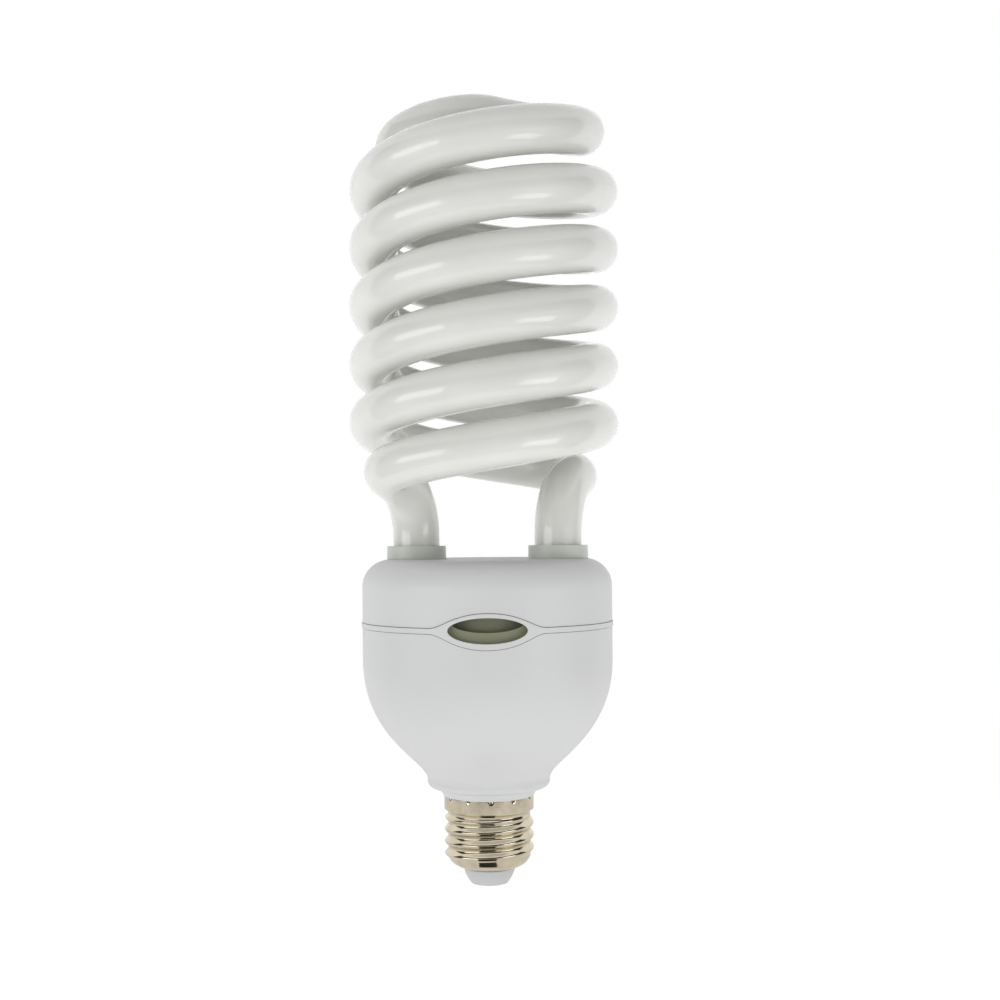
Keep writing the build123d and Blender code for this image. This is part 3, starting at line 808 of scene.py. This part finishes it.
@dataclass(frozen=True)
class CapSize:
    """Sizes of the rolled screw shell."""

    wall: float = 0.35
    mouth_radius: float = 7.4
    mouth_z: float = 4.85
    shoulder_radius: float = 10.6
    shoulder_z: float = 6.15
    root_radius: float = 12.1
    root_z: float = 8.2
    crest_radius: float = 13.15
    pitch: float = 3.629
    crest_left_z: float = 8.94
    thread_low: float = 7.6
    thread_high: float = 20.9
    thread_fade: float = 1.6
    skirt_radius: float = 13.2
    skirt_z: float = 22.3
    flare: float = 0.9
    rim_z: float = 26.2
    stakes: int = 12
    stake_phase: float = 2.7
    stake_depth: float = 0.4
    stake_height: float = 1.2
    stake_width: float = 0.75
    around: int = 288
    shoulder_points: int = 40
    wall_points: int = 190


class ScrewShell:
    """The shell of thin sheet with its rolled thread: two faces that are joined at the mouth and the rim."""

    def __init__(self, size: CapSize) -> None:
        """Keeps the sizes.

        Args:
            size: Sizes of the shell.
        """
        self.size = size

    def outline(self) -> np.ndarray:
        """The shell's outer profile without its thread: rounded shoulder, root, flare and skirt.

        Returns:
            Points (radius, z) from the mouth to the rim, shape (count, 2).
        """
        size = self.size
        start = np.array([size.mouth_radius, size.mouth_z])
        middle = np.array([size.shoulder_radius, size.shoulder_z])
        end = np.array([size.root_radius, size.root_z])
        t = np.linspace(0.0, 1.0, size.shoulder_points)[:, None]
        pull = 2 * middle - (start + end) / 2
        shoulder = start * (1 - t) ** 2 + pull * 2 * t * (1 - t) + end * t**2
        z = np.linspace(size.root_z, size.rim_z, size.wall_points)[1:]
        swell = smooth_step((z - (size.skirt_z - size.flare)) / size.flare)
        radius = size.root_radius + (size.skirt_radius - size.root_radius) * swell
        return np.concatenate([shoulder, np.stack([radius, z], axis=-1)])

    def relief(self, angle: np.ndarray, z: np.ndarray) -> np.ndarray:
        """How far the thread stands out, less the staked dents.

        The thread is a raised cosine across its pitch, so crest and root are both round, and it fades in and
        out at its two ends. Each dent is a small wedge that widens and deepens up to the rim.

        Args:
            angle: Angle round the axis in radians.
            z: Height in millimetres.

        Returns:
            The offset along the radius in millimetres.
        """
        size = self.size
        depth = size.crest_radius - size.root_radius
        turn = (z - size.crest_left_z) / size.pitch - (angle - np.pi) / (2 * np.pi)
        wave = 0.5 + 0.5 * np.cos(2 * np.pi * turn)
        rise = smooth_step((z - size.thread_low) / size.thread_fade)
        fall = smooth_step((size.thread_high - z) / size.thread_fade)
        thread = depth * wave * rise * fall
        step = 2 * np.pi / size.stakes
        phase = angle + np.pi / 2 - np.radians(size.stake_phase)
        across = (np.mod(phase + step / 2, step) - step / 2) * size.skirt_radius
        up = np.clip((z - size.rim_z) / size.stake_height + 1.0, TINY, 1.0)
        wedge = np.clip(1.0 - np.abs(across) / (size.stake_width * up), 0.0, 1.0)
        return thread - size.stake_depth * up * smooth_step(wedge)

    def build(self) -> bpy.types.Object:
        """Turns the profile round the axis, outside and then back inside.

        Returns:
            The shell.
        """
        size = self.size
        outline = self.outline()
        slope = np.gradient(outline, axis=0)
        slope /= np.linalg.norm(slope, axis=1, keepdims=True)
        inward = np.stack([-slope[:, 1], slope[:, 0]], axis=-1)
        inside = outline + inward * size.wall
        inside[:, 1] = np.clip(inside[:, 1], size.mouth_z, size.rim_z)
        profile = np.concatenate([outline, inside[::-1]])
        angle = np.linspace(0.0, 2 * np.pi, size.around, endpoint=False)
        rows = len(profile)
        source = np.concatenate([outline[:, 1], outline[::-1, 1]])[:, None]
        radius = profile[:, :1] + self.relief(angle[None, :], source)
        high = np.broadcast_to(profile[:, 1:], (rows, size.around))
        points = np.stack([radius * np.cos(angle), radius * np.sin(angle), high], axis=-1).reshape(-1, 3)
        quads = grid_faces(rows, size.around, closed=True)
        ring = np.arange(size.around)
        following = (ring + 1) % size.around
        last = (rows - 1) * size.around
        seam = np.stack([last + ring, last + following, following, ring], axis=-1)
        along = np.repeat(np.linspace(0, 1, rows), size.around)
        uv = np.stack([np.tile(angle / (2 * np.pi), rows), along], axis=-1)
        return mesh_object("screw_shell_rolled", points, np.concatenate([quads, seam]), [], uv)


# Vent sheets: painted shade that closes the pockets behind the vents

@dataclass(frozen=True)
class ShadeSheetSize:
    """Sizes of the thin sheet that closes the pocket behind a vent and carries its painted shade."""

    outer_radius: float = 31.0
    thickness: float = 0.4
    low: float = 71.6
    high: float = 82.0
    half_angle: float = 24.0
    corner: float = 0.15
    along: int = 41
    at_corner: int = 5


class VentShadeSheet:
    """A thin curved sheet behind one vent that hides the room inside and carries painted shade."""

    def __init__(self, size: ShadeSheetSize, name: str, facing: float) -> None:
        """Keeps the sizes.

        Args:
            size: Sizes of the plate.
            name: Name of the piece.
            facing: Direction of its middle in degrees, counted from +X towards +Y.
        """
        self.size = size
        self.name = name
        self.facing = facing

    def section(self) -> np.ndarray:
        """The plate's cross-section: a rectangle whose four corners are quarter circles.

        Returns:
            Points (radius, z) against the clock, shape (count, 2).
        """
        size = self.size
        inner = size.outer_radius - size.thickness
        turn = np.linspace(0.0, np.pi / 2, size.at_corner)
        sides = (
            (size.outer_radius, size.high, 1, 1),
            (inner, size.high, -1, 1),
            (inner, size.low, -1, -1),
            (size.outer_radius, size.low, 1, -1),
        )
        corners = []
        for quarter, (radius, z, across, up) in enumerate(sides):
            middle = np.array([radius - across * size.corner, z - up * size.corner])
            angle = turn + quarter * np.pi / 2
            corners.append(middle + size.corner * np.stack([np.cos(angle), np.sin(angle)], axis=-1))
        return np.concatenate(corners)

    def build(self) -> bpy.types.Object:
        """Turns the section about the axis over the plate's arc.

        Returns:
            The plate.
        """
        size = self.size
        section = self.section()
        count = len(section)
        arc = np.radians(self.facing + np.linspace(-size.half_angle, size.half_angle, size.along))[:, None]
        radius = section[None, :, 0]
        high = np.broadcast_to(section[None, :, 1], (size.along, count))
        points = np.stack([radius * np.cos(arc), radius * np.sin(arc), high], axis=-1).reshape(-1, 3)
        quads = grid_faces(size.along, count, closed=True)[:, ::-1]
        ring = np.arange(count)
        last = (size.along - 1) * count
        along = np.repeat(np.linspace(0, 1, size.along), count)
        uv = np.stack([along, np.tile(ring / count, size.along)], axis=-1)
        return mesh_object(self.name, points, quads, [ring, (last + ring)[::-1]], uv)


# The lamp

KEPT_NODES = (
    "tube_cover", "tube_holder", "tube_seals", "vent_ring", "ballast_housing",
    "cap_insulator", "centre_contact", "circuit_board", "wrap_pins", "lead_in_wires",
    "main_capacitor", "choke_core", "choke_bobbin", "choke_winding", "filter_inductor",
    "drive_toroid", "toroid_windings", "power_transistors", "resonant_capacitor", "coupling_capacitor",
    "rectifier_diodes", "fusible_resistor", "start_thermistor", "live_lead", "neutral_lead",
)


class Lamp:
    """The whole lamp: the pieces made here and the CAD nodes that are kept."""

    def __init__(self, frame: dict, palette: Palette) -> None:
        """Keeps the frame.

        Args:
            palette: The finishes.
        """
        self.frame = frame
        self.palette = palette
        self.slots = {part["node"]: part["material_slot"] for part in frame["record"]["subparts"]}

    def stand_for(self, piece: bpy.types.Object, node: str) -> None:
        """Puts a new piece in the place of a CAD node.

        Args:
            piece: The new piece.
            node: The node that it replaces.
        """
        slot = self.slots[node]
        self.palette.paint(piece, slot)
        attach(piece, "root")
        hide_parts(node)
        LOG.info("%s replaces %s: %d vertices", piece.name, node, len(piece.data.vertices))

    def add(self, piece: bpy.types.Object, slot: str) -> None:
        """Adds a piece that stands for no CAD node.

        Args:
            piece: The new piece.
            slot: Name of its material slot.
        """
        self.palette.paint(piece, slot)
        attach(piece, "root")
        LOG.info("%s is added: %d vertices", piece.name, len(piece.data.vertices))

    def build(self) -> None:
        """Makes the new pieces and dresses the kept nodes."""
        self.stand_for(DischargeTube(SpiralSize()).build(), "discharge_tube")
        self.stand_for(ScrewShell(CapSize()).build(), "screw_shell")
        # Two sheets close the pockets behind the vents; the white plastic gives them painted shade.
        for name, facing in (("vent_shade_sheet_front", -90.0), ("vent_shade_sheet_back", 90.0)):
            self.add(VentShadeSheet(ShadeSheetSize(), name, facing).build(), "white_plastic")
        for node in KEPT_NODES:
            self.palette.paint(self.frame["nodes"][node], self.slots[node])
            LOG.info("%s keeps its CAD shape", node)


# Studio

@dataclass(frozen=True)
class Softbox:
    """A rectangular light that faces the lamp's axis, tilted upward by its pitch.

    Lengths are metres and angles degrees. The azimuth is 0 at the front and positive to the right.
    """

    name: str
    azimuth: float
    reach: float
    height: float
    pitch: float
    width: float
    length: float
    radiance: float

    def build(self) -> bpy.types.Object:
        """Places the light, with the power that gives its face the wanted radiance.

        Returns:
            The light object.
        """
        data = bpy.data.lights.new(self.name, "AREA")
        data.shape = "RECTANGLE"
        data.size = self.width
        data.size_y = self.length
        data.energy = float(np.pi) * self.width * self.length * self.radiance
        light = bpy.data.objects.new(self.name, data)
        turn = Matrix.Rotation(np.radians(self.azimuth), 4, "Z")
        lift = Matrix.Rotation(np.radians(90.0 + self.pitch), 4, "X")
        light.matrix_world = turn @ Matrix.Translation((0, -self.reach, self.height)) @ lift
        light.visible_camera = False
        bpy.context.scene.collection.objects.link(light)
        return light


@dataclass(frozen=True)
class StudioSize:
    """Sizes of the camera, the floor, the dark card and the lamps.

    Lengths are metres, but for the focal length and the sensor in millimetres. Angles are degrees. The floor
    near the lamp glows with strength table, with lift more for the camera, and turns white over fade.
    """

    distance: float = 0.4094
    height: float = 0.1031
    focal: float = 49.87
    sensor: float = 36.0
    shift_x: float = 0.0133
    shift_y: float = 0.0333
    roll: float = -0.5
    floor_half: float = 3.0
    fade: tuple[float, float] = (0.10, 0.40)
    table: float = 0.36
    lift: float = 0.25
    fill: float = 0.40
    fill_colour: Colour = (1.0, 0.99, 0.98)
    floor_tones: tuple[Colour, Colour] = ((0.93, 0.93, 0.93), (0.95, 0.95, 0.95))
    card_tones: tuple[Colour, Colour] = ((0.03, 0.03, 0.025), (0.05, 0.05, 0.04))
    clip: float = 0.01
    card_radius: float = 1.0
    card_spread: float = 105.0
    card_near: float = 0.16
    tongue: tuple[float, float] = (-22.0, 16.0)
    tongue_near: float = 0.012
    tongue_far: float = 0.052
    card_low: float = 0.001
    card_high: float = 0.90
    card_points: int = 49
    tongue_points: int = 13
    softboxes: tuple[Softbox, ...] = (
        Softbox("softbox_left", -52.0, 0.55, 0.115, 4.0, 0.44, 0.21, 2.3),
        Softbox("softbox_right", 51.0, 0.60, 0.115, 4.0, 0.44, 0.21, 0.5),
        Softbox("softbox_low", 50.0, 0.26, 0.045, 34.0, 0.15, 0.09, 2.4),
    )


class Studio:
    """Floor, world, lamps and camera."""

    def __init__(self, size: StudioSize) -> None:
        """Keeps the sizes.

        Args:
            size: Sizes of the studio.
        """
        self.size = size

    def floor(self) -> None:
        """A wide pale floor that takes the lamp's shadow and fades to white away from it."""
        half = self.size.floor_half
        mesh = bpy.data.meshes.new("floor")
        corners = [(-half, -half, 0), (half, -half, 0), (half, half, 0), (-half, half, 0)]
        mesh.from_pydata(corners, [], [(0, 1, 2, 3)])
        floor = bpy.data.objects.new("floor", mesh)
        bpy.context.scene.collection.objects.link(floor)
        graph = Graph("floor_white")
        dust = graph.noise(graph.place(), scale=60.0)
        graph.join(graph.blend(dust, *self.size.floor_tones), graph.shader.inputs["Base Color"])
        graph.constants(Roughness=0.9, Specular_IOR_Level=0.1)
        self.whiten(graph)
        mesh.materials.append(graph.material)

    def ring(self, azimuth: np.ndarray, radius: float, height: float) -> np.ndarray:
        """Points on a level circle about the lamp's axis.

        Args:
            azimuth: Angles in degrees, 0 at the front and positive to the right.
            radius: Radius in metres.
            height: Height in metres.

        Returns:
            Points, shape (count, 3).
        """
        turn = np.radians(azimuth)
        level = np.full(len(turn), height)
        return np.stack([radius * np.sin(turn), -radius * np.cos(turn), level], axis=-1)

    def card(self) -> None:
        """A dark curved card round the front, which only gives glossy faces something dark to mirror.

        It is part of an upright cylinder about the lamp's axis, from the left over the front to the right.
        It has a flat foot on the floor and a small tongue that lies in front of the cap. It casts no shadow.
        """
        size = self.size
        mesh = bpy.data.meshes.new("dark_card")
        wide = np.linspace(-size.card_spread, size.card_spread, size.card_points)
        narrow = np.linspace(*size.tongue, size.tongue_points)
        edges = (
            (wide, size.card_near, size.card_low),
            (wide, size.card_radius, size.card_low),
            (wide, size.card_radius, size.card_high),
            (narrow, size.tongue_near, size.card_low),
            (narrow, size.tongue_far, size.card_low),
        )
        points = np.concatenate([self.ring(*edge) for edge in edges])
        foot = grid_faces(3, len(wide), closed=False)
        tongue = grid_faces(2, len(narrow), closed=False) + 3 * len(wide)
        mesh.from_pydata(points.tolist(), [], np.concatenate([foot, tongue]).tolist())
        card = bpy.data.objects.new("dark_card", mesh)
        card.visible_camera = False
        card.visible_diffuse = False
        card.visible_shadow = False
        bpy.context.scene.collection.objects.link(card)
        graph = Graph("dark_card")
        weave = graph.noise(graph.place(), scale=40.0)
        graph.join(graph.blend(weave, *size.card_tones), graph.shader.inputs["Base Color"])
        graph.constants(Roughness=0.9)
        mesh.materials.append(graph.material)

    def seen(self, tree: bpy.types.NodeTree) -> Socket:
        """1 for the rays that show a background: straight to the camera, mirrored or through clear matter.

        Args:
            tree: The node tree that gets the nodes.

        Returns:
            The number.
        """
        path = tree.nodes.new("ShaderNodeLightPath").outputs
        direct = calculate(tree, "MAXIMUM", path["Is Camera Ray"], path["Is Glossy Ray"])
        return calculate(tree, "MAXIMUM", direct, path["Is Transmission Ray"])

    def whiten(self, graph: Graph) -> None:
        """Makes the floor near the lamp glow a little and fades it to plain white further off.

        Only the rays that show a background see the white.

        Args:
            graph: The floor's material.
        """
        size = self.size
        tree = graph.tree
        distance = tree.nodes.new("ShaderNodeVectorMath")
        distance.operation = "LENGTH"
        graph.join(graph.place(), distance.inputs[0])
        fade = graph.window(distance.outputs["Value"], *size.fade)
        amount = calculate(tree, "MULTIPLY", fade, self.seen(tree))
        path = tree.nodes.new("ShaderNodeLightPath")
        strength = calculate(tree, "MULTIPLY_ADD", path.outputs["Is Camera Ray"], size.lift, size.table)
        glow = tree.nodes.new("ShaderNodeEmission")
        graph.join(strength, glow.inputs["Strength"])
        near = tree.nodes.new("ShaderNodeAddShader")
        graph.join(graph.shader.outputs["BSDF"], near.inputs[0])
        graph.join(glow.outputs["Emission"], near.inputs[1])
        white = tree.nodes.new("ShaderNodeEmission")
        mix = tree.nodes.new("ShaderNodeMixShader")
        output = next(node for node in tree.nodes if node.bl_idname == "ShaderNodeOutputMaterial")
        graph.join(amount, mix.inputs["Fac"])
        graph.join(near.outputs[0], mix.inputs[1])
        graph.join(white.outputs["Emission"], mix.inputs[2])
        graph.join(mix.outputs[0], output.inputs["Surface"])

    def world(self) -> None:
        """White where the camera, a mirror or clear matter looks, and an even dim fill for the rest."""
        world = bpy.data.worlds.new("studio")
        bpy.context.scene.world = world
        world.use_nodes = True
        tree = world.node_tree
        tree.nodes.clear()
        output = tree.nodes.new("ShaderNodeOutputWorld")
        fill = tree.nodes.new("ShaderNodeBackground")
        fill.inputs["Color"].default_value = (*self.size.fill_colour, 1.0)
        fill.inputs["Strength"].default_value = self.size.fill
        white = tree.nodes.new("ShaderNodeBackground")
        white.inputs["Strength"].default_value = 1.0
        white.inputs["Color"].default_value = (1.0, 1.0, 1.0, 1.0)
        mix = tree.nodes.new("ShaderNodeMixShader")
        tree.links.new(self.seen(tree), mix.inputs["Fac"])
        tree.links.new(fill.outputs[0], mix.inputs[1])
        tree.links.new(white.outputs[0], mix.inputs[2])
        tree.links.new(mix.outputs[0], output.inputs["Surface"])

    def camera(self) -> None:
        """The camera at the photograph's place: level, shifted, and rolled a little."""
        size = self.size
        data = bpy.data.cameras.new("camera")
        data.sensor_width = size.sensor
        data.lens = size.focal
        data.shift_x = size.shift_x
        data.shift_y = size.shift_y
        data.clip_start = size.clip
        camera = bpy.data.objects.new("camera", data)
        place = Matrix.Translation((0.0, -size.distance, size.height))
        level = Matrix.Rotation(np.radians(90.0), 4, "X")
        camera.matrix_world = place @ level @ Matrix.Rotation(np.radians(size.roll), 4, "Z")
        bpy.context.scene.collection.objects.link(camera)
        bpy.context.scene.camera = camera

    def build(self) -> None:
        """Sets up the studio."""
        self.floor()
        self.card()
        self.world()
        self.camera()
        for softbox in self.size.softboxes:
            softbox.build()
        bpy.context.scene.view_settings.view_transform = "Standard"


def main() -> None:
    """Loads the frame and builds the lamp and its studio."""
    logging.basicConfig(level=logging.INFO, format="%(name)s: %(message)s")
    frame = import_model()
    Lamp(frame, Palette()).build()
    Studio(StudioSize()).build()


if __name__ == "__main__":
    main()
